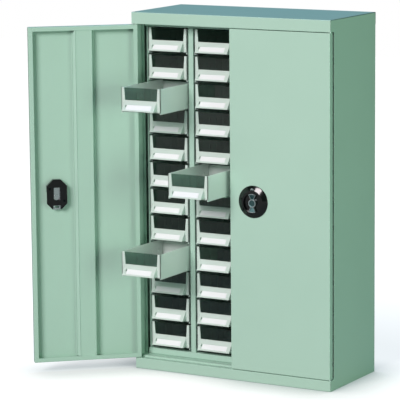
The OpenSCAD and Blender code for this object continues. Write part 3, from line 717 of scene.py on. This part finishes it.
def polished_abs(name, colour, rough):
    """Injection-moulded ABS from a polished mould: black and mirror-like, with slight waves."""
    material = blank_material(name)
    tree = material.node_tree
    place = add(tree, "ShaderNodeTexCoord").outputs["Object"]
    wave = add(
        tree, "ShaderNodeTexNoise", {"Vector": place, "Scale": waves_per_metre, "Detail": 1.0}
    )
    bump = add(
        tree,
        "ShaderNodeBump",
        {"Height": wave.outputs["Fac"], "Distance": wave_height, "Strength": 0.4},
    )
    plastic = add(
        tree,
        "ShaderNodeBsdfPrincipled",
        {
            "Base Color": srgb(colour),
            "Roughness": rough,
            "IOR": 1.54,
            "Normal": bump.outputs["Normal"],
        },
    )
    add(tree, "ShaderNodeOutputMaterial", {"Surface": plastic.outputs[0]})
    return material


same_point = 0.001 * mm


def across_of(bm):
    """Diagonal of the box around a solid."""
    spans = [
        max(v.co[i] for v in bm.verts) - min(v.co[i] for v in bm.verts) for i in range(3)
    ]
    return Vector(spans).length


def solids_of(node):
    """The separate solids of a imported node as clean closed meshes, the largest across first."""
    bm = bmesh.new()
    bm.from_mesh(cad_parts[node].data)
    bmesh.ops.remove_doubles(bm, verts=bm.verts, dist=same_point)
    taken = set()
    solids = []
    for first in bm.faces:
        if first in taken:
            continue
        reached = new = [first]
        while new:
            taken.update(new)
            around = in_order(g for f in new for e in f.edges for g in e.link_faces)
            new = [g for g in around if g not in taken]
            reached = reached + new
        one = bmesh.new()
        twins = {}
        for face in reached:
            for vert in face.verts:
                if vert not in twins:
                    twins[vert] = one.verts.new(vert.co)
            one.faces.new([twins[vert] for vert in face.verts])
        bmesh.ops.dissolve_limit(
            one, angle_limit=math.radians(0.5), verts=one.verts, edges=one.edges
        )
        bmesh.ops.recalc_face_normals(one, faces=one.faces)
        solids.append(one)
    bm.free()
    return sorted(solids, key=across_of, reverse=True)


black_abs = polished_abs("black_gloss_abs", gloss_black, gloss_rough)
key_zinc = plated_steel("nickel_plated_zinc", key_nickel, key_rough)
black_steel = plated_steel("blackened_screw_steel", screw_black, screw_rough)
for side in ("left", "right"):
    lock = side + "_lock"
    plate, cover, key, *screws = solids_of(lock)
    round_edges(plate, plate_edge, 3, 15)  # its round rims are facets of 9 degrees at most
    round_edges(cover, cover_edge, 3)
    round_edges(key, key_edge, 1)
    place_piece(side + "_handle_plate", plate, [black_abs], side + "_door", (lock,))
    place_piece(side + "_lock_cover", cover, [black_abs], side + "_door")
    place_piece(side + "_key_cylinder", key, [key_zinc], side + "_door")
    for i, screw in enumerate(screws):
        round_edges(screw, screw_edge)
        name = "%s_cover_screw_%d" % (side, i + 1)
        place_piece(name, screw, [black_steel], side + "_door")


# ---------------------------------------------------------------------------
# Handles: die-cast zinc, a bow tie in one piece with its spindle; its ends are hollowed, deep at
# the boss and running out towards the tips; plated bright, with the hollow floors coloured dark as
# a painted reflection of the dark room
# ---------------------------------------------------------------------------
hub_level = 466 * mm
handle_face = 8 * mm  # out of the door's outer face
hollow_floor = 1.6 * mm  # below the handle's face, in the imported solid
hollow_at_boss = 3.2 * mm
hollow_at_tip = 0.4 * mm
boss_radius = 10.25 * mm
boss_inside = 8.6 * mm
handle_tip = 22 * mm
handle_edge = 0.35 * mm
painted_dark_starts = 0.4 * mm  # below the handle's face
painted_dark_ends = 3.4 * mm
rim_bright = "#CBD8DA"
rim_rough = 0.28
# painted reflection: the floors of the hollows are coloured dark to stand for the dark room they
# mirror
hollow_painted_dark = "#4C686A"
hollow_painted_rough = 0.36

rim_plate = plated_steel("plated_die_casting", rim_bright, rim_rough)
painted_dark_hollows = plated_steel("painted_dark_reflection_in_hollows", hollow_painted_dark, hollow_painted_rough)
for side, place in (("left", on_left_door), ("right", on_right_door)):
    bm = solids_of(side + "_handle")[0]
    bmesh.ops.transform(bm, matrix=place.inverted(), verts=bm.verts)
    for vert in bm.verts:
        depth = vert.co.y + door_thickness / 2 + handle_face
        beside = abs(vert.co.z - hub_level)
        if abs(depth - hollow_floor) < seam and beside > boss_inside:
            share = (beside - boss_radius) / (handle_tip - boss_radius)
            fall = hollow_at_boss + (hollow_at_tip - hollow_at_boss) * share
            vert.co.y = fall - door_thickness / 2 - handle_face
    round_edges(bm, handle_edge)
    bm.normal_update()
    # faces that look out of the hollows get the painted dark reflection
    for face in bm.faces:
        depth = face.calc_center_median().y + door_thickness / 2 + handle_face
        flat = abs(face.normal.y) > 0.5
        face.material_index = int(flat and painted_dark_starts < depth < painted_dark_ends)
    bmesh.ops.transform(bm, matrix=place, verts=bm.verts)
    bmesh.ops.recalc_face_normals(bm, faces=bm.faces)
    place_piece(
        side + "_turn_handle", bm, [rim_plate, painted_dark_hollows], side + "_handle",
        (side + "_handle",),
    )


# ---------------------------------------------------------------------------
# Latches: a tongue pressed from 3 mm steel, bright zinc-plated, and the screw that holds it on the
# end of the handle's spindle
# ---------------------------------------------------------------------------
tongue_bright = "#DDE4E8"
tongue_rough = 0.22
tongue_edge = 0.4 * mm

tongue_steel = plated_steel("bright_zinc_plate", tongue_bright, tongue_rough)
for side in ("left", "right"):
    for i, bm in enumerate(solids_of(side + "_latch")):
        round_edges(bm, tongue_edge)
        name = side + ("_tongue" if i == 0 else "_tongue_screw_%d" % i)
        replaced = (side + "_latch",) if i == 0 else ()
        place_piece(name, bm, [tongue_steel], side + "_handle", replaced)


# ---------------------------------------------------------------------------
# Drawers: 48 moulded polystyrene trays with a frame and a sloping pull in front, a clear pane
# slipped in behind the window, and a white card in the recess of the pull
# ---------------------------------------------------------------------------
drawer_width = 115 * mm
drawer_height = 65 * mm
drawer_length = 205 * mm
wall = 2 * mm
skid = 3 * mm
frame_depth = 2.5 * mm
window_low = 33 * mm
arm_top = 8 * mm
arm_low = 10.5 * mm
pull_top = 31.5 * mm
pull_nose_top = 8.5 * mm
pull_low = 6.5 * mm
pull_reach = 17.5 * mm
pull_wall = 2.2 * mm
pull_half = drawer_width / 2 - arm_low
card_width = 73 * mm
card_height = 14 * mm
card_thickness = 0.4 * mm
card_low = 3 * mm  # above the slope's lower edge
card_recess = 0.8 * mm
card_room = 0.6 * mm
slot_gap = 1.4 * mm
slot_width = 2.5 * mm
slot_height = 7 * mm
rib_first = 68 * mm
rib_pitch = 36 * mm
rib_count = 4
rib_width = 1.5 * mm
rib_proud = 1.8 * mm
rib_top = 43 * mm
hook_length = 5 * mm
hook_height = 1.5 * mm
pane_thickness = 1.5 * mm
pane_room = 0.3 * mm
pane_rib_top = 63 * mm
back_wall_top = 60 * mm
lug_length = 8 * mm
lug_height = 4 * mm
lug_proud = 3.5 * mm
lug_low = 11 * mm
mould_edge = 0.35 * mm
nose_edge = 0.5 * mm
pane_edge = 0.2 * mm
pane_below_rim = 0.5 * mm

slope_long = math.hypot(pull_reach, pull_top - pull_nose_top)
slope_up = Vector((0, pull_reach, pull_top - pull_nose_top)) / slope_long
slope_out = Vector((0, pull_nose_top - pull_top, pull_reach)) / slope_long
slope_middle = Vector((0, -pull_reach / 2, (pull_top + pull_nose_top) / 2))
card_level = card_low + (card_height - slope_long) / 2


def on_slope(across, along, depth=0.0):
    """A point of the pull: across the drawer, up its slope, and below that surface."""
    return slope_middle + Vector((across, 0, 0)) + slope_up * along - slope_out * depth


def level_at(y, depth):
    """How far up the slope a point that lies at a depth reaches a given y."""
    return (y - slope_middle.y + depth * slope_out.y) / slope_up.y


def add_prism(bm, outline, shift):
    """A flat outline of corners, extruded by a vector."""
    face = bm.faces.new([bm.verts.new(corner) for corner in outline])
    made = bmesh.ops.extrude_face_region(bm, geom=[face])
    moved = [v for v in made["geom"] if isinstance(v, bmesh.types.BMVert)]
    bmesh.ops.translate(bm, verts=moved, vec=shift)
    return [*face.verts, *moved]


def moulded_tray():
    """One tray at the origin: the middle of its front frame, at the height of its skids."""
    half = drawer_width / 2
    floor_top = skid + wall
    bm = bmesh.new()
    section = [
        (-half, 0), (wall - half, 0), (wall - half, skid), (half - wall, skid),
        (half - wall, 0), (half, 0), (half, drawer_height), (half - wall, drawer_height),
        (half - wall, floor_top), (wall - half, floor_top), (wall - half, drawer_height),
        (-half, drawer_height),
    ]
    add_prism(bm, [(x, 0, z) for x, z in section], (0, drawer_length, 0))
    back = drawer_length - wall
    add_box(bm, (wall - half, back, floor_top), (half - wall, drawer_length, back_wall_top))
    front = [
        (-half, skid), (half, skid), (half, drawer_height), (half - arm_top, drawer_height),
        (pull_half, window_low), (-pull_half, window_low),
        (arm_top - half, drawer_height), (-half, drawer_height),
    ]
    add_prism(bm, [(x, 0, z) for x, z in front], (0, frame_depth, 0))
    pane_rib = frame_depth + pane_thickness + pane_room
    for side in (-1, 1):
        inside = sorted((side * (half - wall), side * (half - wall - rib_proud)))
        for i in range(rib_count):
            y = rib_first + i * rib_pitch
            low = rib_top - hook_height
            add_box(bm, (inside[0], y, floor_top), (inside[1], y + rib_width, low))
            add_box(bm, (inside[0], y, low), (inside[1], y + hook_length, rib_top))
        add_box(
            bm,
            (inside[0], pane_rib, floor_top),
            (inside[1], pane_rib + rib_width, pane_rib_top),
        )
        outside = sorted((side * half, side * (half + lug_proud)))
        add_box(
            bm,
            (outside[0], drawer_length - lug_length, lug_low),
            (outside[1], drawer_length, lug_low + lug_height),
        )
    round_edges(bm, mould_edge, 1)
    return bm


def sloping_pull():
    """The pull of one drawer: a hood open below, with the card's recess and a slot beside it."""
    bm = bmesh.new()
    known = {}

    def corner(point):
        key = tuple(round(value, 7) for value in point)
        if key not in known:
            known[key] = bm.verts.new(point)
        return known[key]

    def face(*points):
        bm.faces.new([corner(point) for point in points])

    slot_left = -card_width / 2 - slot_gap - slot_width
    slot_right = slot_left + slot_width
    columns = [-pull_half, slot_left, slot_right, card_width / 2 + card_room, pull_half]
    half_card = card_height / 2
    slot_low = card_level + half_card - slot_height
    slot_high = card_level + half_card
    lines = [
        -slope_long / 2, card_level - half_card - card_room, slot_low, slot_high,
        slot_high + card_room, slope_long / 2,
    ]

    def depth_of(i, j):
        if (i, j) == (1, 2):
            return pull_wall
        return card_recess if i in (1, 2) and j in (1, 2, 3) else 0.0

    # outer skin: the slope with its recess, and a step down wherever two cells differ in depth
    for i in range(4):
        for j in range(5):
            left, right, low, high = columns[i], columns[i + 1], lines[j], lines[j + 1]
            depth = depth_of(i, j)
            if (i, j) != (1, 2):
                face(
                    on_slope(left, low, depth), on_slope(right, low, depth),
                    on_slope(right, high, depth), on_slope(left, high, depth),
                )
            if i < 3 and depth_of(i + 1, j) != depth:
                other = depth_of(i + 1, j)
                face(
                    on_slope(right, low, depth), on_slope(right, high, depth),
                    on_slope(right, high, other), on_slope(right, low, other),
                )
            if j < 4 and depth_of(i, j + 1) != depth:
                other = depth_of(i, j + 1)
                face(
                    on_slope(left, high, depth), on_slope(right, high, depth),
                    on_slope(right, high, other), on_slope(left, high, other),
                )

    # inner skin: flat, with the slot in it
    inner_half = pull_half - pull_wall
    inner_front = pull_wall - pull_reach
    inner_columns = [-inner_half, slot_left, slot_right, inner_half]
    inner_lines = [
        level_at(inner_front, pull_wall), slot_low, slot_high, level_at(0, pull_wall),
    ]
    for i in range(3):
        for j in range(3):
            if (i, j) != (1, 1):
                face(
                    on_slope(inner_columns[i], inner_lines[j], pull_wall),
                    on_slope(inner_columns[i + 1], inner_lines[j], pull_wall),
                    on_slope(inner_columns[i + 1], inner_lines[j + 1], pull_wall),
                    on_slope(inner_columns[i], inner_lines[j + 1], pull_wall),
                )

    # nose, inside and outside
    for xs, y, foot in ((columns, -pull_reach, 0.0), (inner_columns, inner_front, pull_wall)):
        level = level_at(y, foot)
        for left, right in zip(xs, xs[1:]):
            face(
                (left, y, pull_low), (right, y, pull_low),
                on_slope(right, level, foot), on_slope(left, level, foot),
            )
    # both ends, inside and outside
    for half, levels, y, foot in (
        (pull_half, lines, -pull_reach, 0.0), (inner_half, inner_lines, inner_front, pull_wall),
    ):
        for side in (-1, 1):
            edge = [on_slope(side * half, level, foot) for level in levels]
            face((side * half, y, pull_low), *edge, (side * half, 0, pull_low))
    # lower rim, and the faces against the frame
    outer_rim = [(x, -pull_reach, pull_low) for x in columns]
    inner_rim = [(x, inner_front, pull_low) for x in reversed(inner_columns)]
    face(
        (-pull_half, 0, pull_low), *outer_rim, (pull_half, 0, pull_low),
        (inner_half, 0, pull_low), *inner_rim, (-inner_half, 0, pull_low),
    )
    outer_top = [on_slope(x, lines[-1]) for x in columns]
    inner_top = [on_slope(x, inner_lines[-1], pull_wall) for x in reversed(inner_columns)]
    face(
        (-pull_half, 0, pull_low), *outer_top, (pull_half, 0, pull_low),
        (inner_half, 0, pull_low), *inner_top, (-inner_half, 0, pull_low),
    )
    bmesh.ops.recalc_face_normals(bm, faces=bm.faces)
    outer_edges = [
        e
        for e in bm.edges
        if e.calc_face_angle(0) > math.radians(30)
        and (
            all(abs(v.co.y + pull_reach) < seam for v in e.verts)
            or all(abs(abs(v.co.x) - pull_half) < seam for v in e.verts)
        )
        and any(v.co.y < -seam for v in e.verts)
    ]
    bmesh.ops.bevel(
        bm, geom=outer_edges, offset=nose_edge, affect="EDGES", segments=2, profile=0.5,
        material=-1, clamp_overlap=True,
    )
    return bm


def label_card():
    """The white card in the pull's recess."""
    bm = bmesh.new()
    back = card_recess - seam
    corners = [
        on_slope(sx * card_width / 2, card_level + sz * card_height / 2, back)
        for sx, sz in ((-1, -1), (1, -1), (1, 1), (-1, 1))
    ]
    add_prism(bm, corners, slope_out * card_thickness)
    bmesh.ops.recalc_face_normals(bm, faces=bm.faces)
    return bm


def clear_pane():
    """The pane behind the window, held between the frame and a rib on each wall."""
    half = drawer_width / 2 - wall - pane_room
    bm = bmesh.new()
    add_box(
        bm,
        (-half, frame_depth + seam, skid + wall + seam),
        (half, frame_depth + seam + pane_thickness, drawer_height - pane_below_rim),
    )
    round_edges(bm, pane_edge, 1)
    return bm


tray_milk = ("#F2FAF6", "#EAF6F0")
front_milk = ("#E0EFE8", "#D8E9E0")
through_tray = 0.3  # share of the light that a wall lets through
through_front = 0.2
mould_drift = 40 * mm  # the milkiness varies with the flow in the mould
pane_green = "#BCCFC8"
# painted shade: the lamps' light through the pane is dimmed to this, much darker than the eye sees
# through it, so closed drawers stay dark inside
pane_painted_shade = "#5E736A"
card_white = "#F0F4F5"
fibres_per_metre = 900  # fibres about 1 mm across
fibre_height = 0.03 * mm


def moulded_polystyrene(name, colours, milky):
    """Milky polystyrene: satin, and the thinner it is, the more light comes through it."""
    material = blank_material(name)
    tree = material.node_tree
    place = add(tree, "ShaderNodeTexCoord").outputs["Object"]
    drift = add(tree, "ShaderNodeTexNoise", {"Vector": place, "Scale": 1 / mould_drift})
    pale, deep = colours
    tint = add(
        tree,
        "ShaderNodeMix",
        {0: drift.outputs["Fac"], 6: srgb(deep), 7: srgb(pale)},
        data_type="RGBA",
    )
    plastic = add(
        tree,
        "ShaderNodeBsdfPrincipled",
        {"Base Color": tint.outputs[2], "Roughness": 0.42, "IOR": 1.59},
    )
    glowing = add(tree, "ShaderNodeBsdfTranslucent", {"Color": tint.outputs[2]})
    mixed = add(
        tree, "ShaderNodeMixShader", {0: milky, 1: plastic.outputs[0], 2: glowing.outputs[0]}
    )
    add(tree, "ShaderNodeOutputMaterial", {"Surface": mixed.outputs[0]})
    return material


def clear_styrene(name, colour, shade):
    """Clear polystyrene sheet: faintly green and mirror-like; it lets far less lamp light through
    than it shows, which paints shade inside the drawers.
    """
    material = blank_material(name)
    tree = material.node_tree
    rays = add(tree, "ShaderNodeLightPath")
    tint = add(
        tree,
        "ShaderNodeMix",
        {0: rays.outputs["Is Shadow Ray"], 6: srgb(colour), 7: srgb(shade)},
        data_type="RGBA",
    )
    through = add(tree, "ShaderNodeBsdfTransparent", {"Color": tint.outputs[2]})
    gloss = add(tree, "ShaderNodeBsdfGlossy", {"Color": (1, 1, 1, 1), "Roughness": 0.06})
    facing = add(tree, "ShaderNodeFresnel", {"IOR": 1.5})
    sheen = add(
        tree,
        "ShaderNodeMixShader",
        {0: facing.outputs[0], 1: through.outputs[0], 2: gloss.outputs[0]},
    )
    add(tree, "ShaderNodeOutputMaterial", {"Surface": sheen.outputs[0]})
    return material


def card_stock(name, colour):
    """White card, matt, with the soft tooth of paper."""
    material = blank_material(name)
    tree = material.node_tree
    place = add(tree, "ShaderNodeTexCoord").outputs["Object"]
    tooth = add(tree, "ShaderNodeTexNoise", {"Vector": place, "Scale": fibres_per_metre})
    bump = add(
        tree,
        "ShaderNodeBump",
        {"Height": tooth.outputs["Fac"], "Distance": fibre_height, "Strength": 0.5},
    )
    paper = add(
        tree,
        "ShaderNodeBsdfPrincipled",
        {"Base Color": srgb(colour), "Roughness": 0.75, "Normal": bump.outputs["Normal"]},
    )
    add(tree, "ShaderNodeOutputMaterial", {"Surface": paper.outputs[0]})
    return material


tray_plastic = moulded_polystyrene("thin_polystyrene", tray_milk, through_tray)
front_plastic = moulded_polystyrene("thick_polystyrene", front_milk, through_front)
pane_plastic = clear_styrene("clear_polystyrene", pane_green, pane_painted_shade)
white_card = card_stock("white_card", card_white)

# the pull is moulded in one with its tray; the front and the ribs are of the thicker material
tray_form, pull_form = moulded_tray(), sloping_pull()
pane_form, card_form = clear_pane(), label_card()
pull_mesh = bpy.data.meshes.new("pull_form")
pull_form.to_mesh(pull_mesh)
tray_form.from_mesh(pull_mesh)
pull_form.free()
wall_inside = drawer_width / 2 - wall
rib_slack = 0.2 * mm
for face in tray_form.faces:
    middle = face.calc_center_median()
    front = middle.y < frame_depth + seam
    rib = rib_slack < wall_inside - abs(middle.x) < rib_proud + rib_slack
    face.material_index = int(front or rib)

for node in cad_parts:
    if not node.startswith("drawer_c"):
        continue
    low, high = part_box(node)
    seat = Vector(((low.x + high.x) / 2, low.y + pull_reach, low.z))
    for suffix, form, materials in (
        ("tray", tray_form, [tray_plastic, front_plastic]),
        ("pane", pane_form, [pane_plastic]),
        ("card", card_form, [white_card]),
    ):
        bm = form.copy()
        bmesh.ops.translate(bm, verts=bm.verts, vec=seat)
        replaced = (node,) if suffix == "tray" else ()
        place_piece(node + "_" + suffix, bm, materials, node, replaced)
for form in (tray_form, pane_form, card_form):
    form.free()
